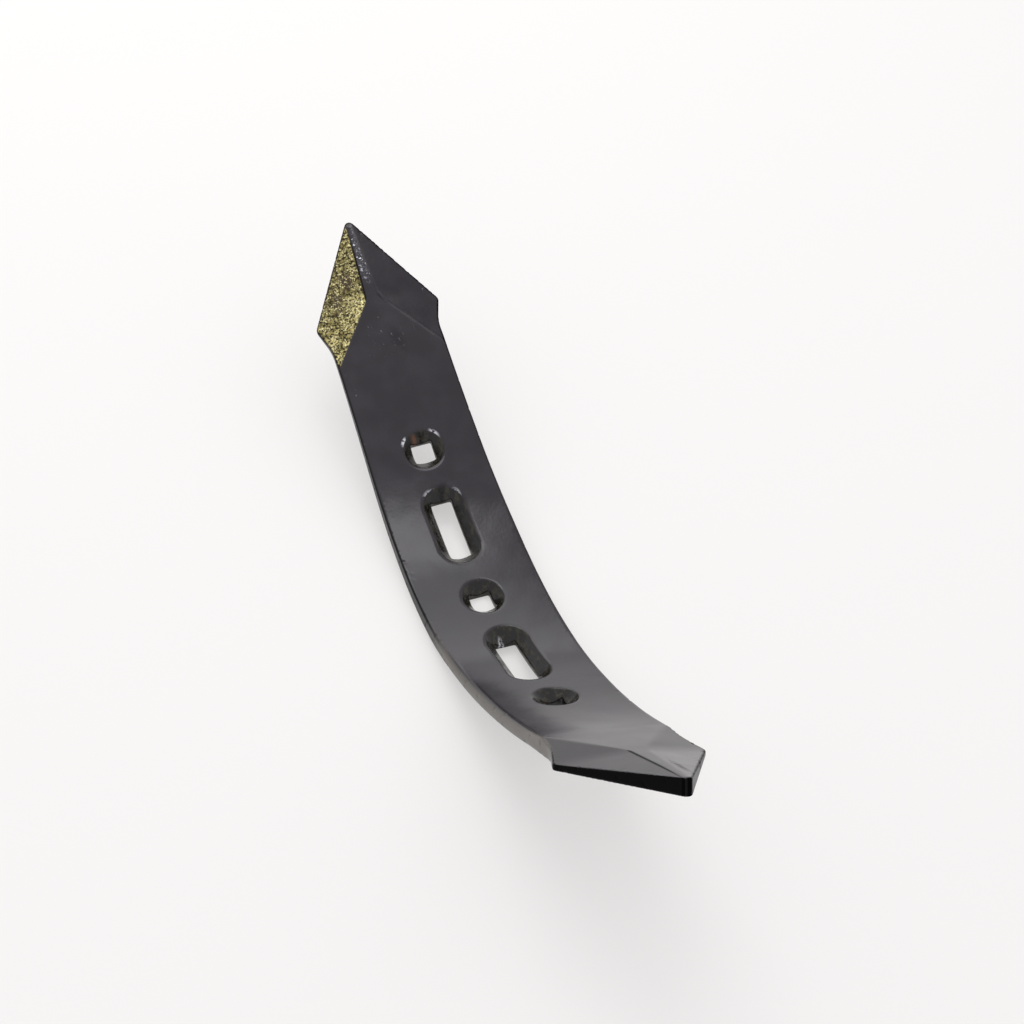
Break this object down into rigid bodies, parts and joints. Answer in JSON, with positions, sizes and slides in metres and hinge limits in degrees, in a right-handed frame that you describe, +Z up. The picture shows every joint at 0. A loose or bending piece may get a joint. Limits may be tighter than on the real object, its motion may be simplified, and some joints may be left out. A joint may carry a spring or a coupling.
{
  "type": "cultivator tine point",
  "caption": "Reversible cultivator point: a bent, slightly twisted steel bar with a bevelled arrowhead at each end and square countersunk bolt holes and slots between.",
  "frame": {"origin": "centre of the bounding box at the floor, under the point as it lies on its rounded back", "axes": "+X along the bar towards the arrowhead nearer the bend, +Y across the bar, +Z up, out of the hollow front face"},
  "size_m": [0.4912, 0.0808, 0.1394],
  "materials": {
    "black_paint": "gloss black paint over forged steel, rubbed to speckled metal on one bevel"
  },
  "bodies": {
    "root": {"tine_point": "black_paint"}
  },
  "joints": []
}
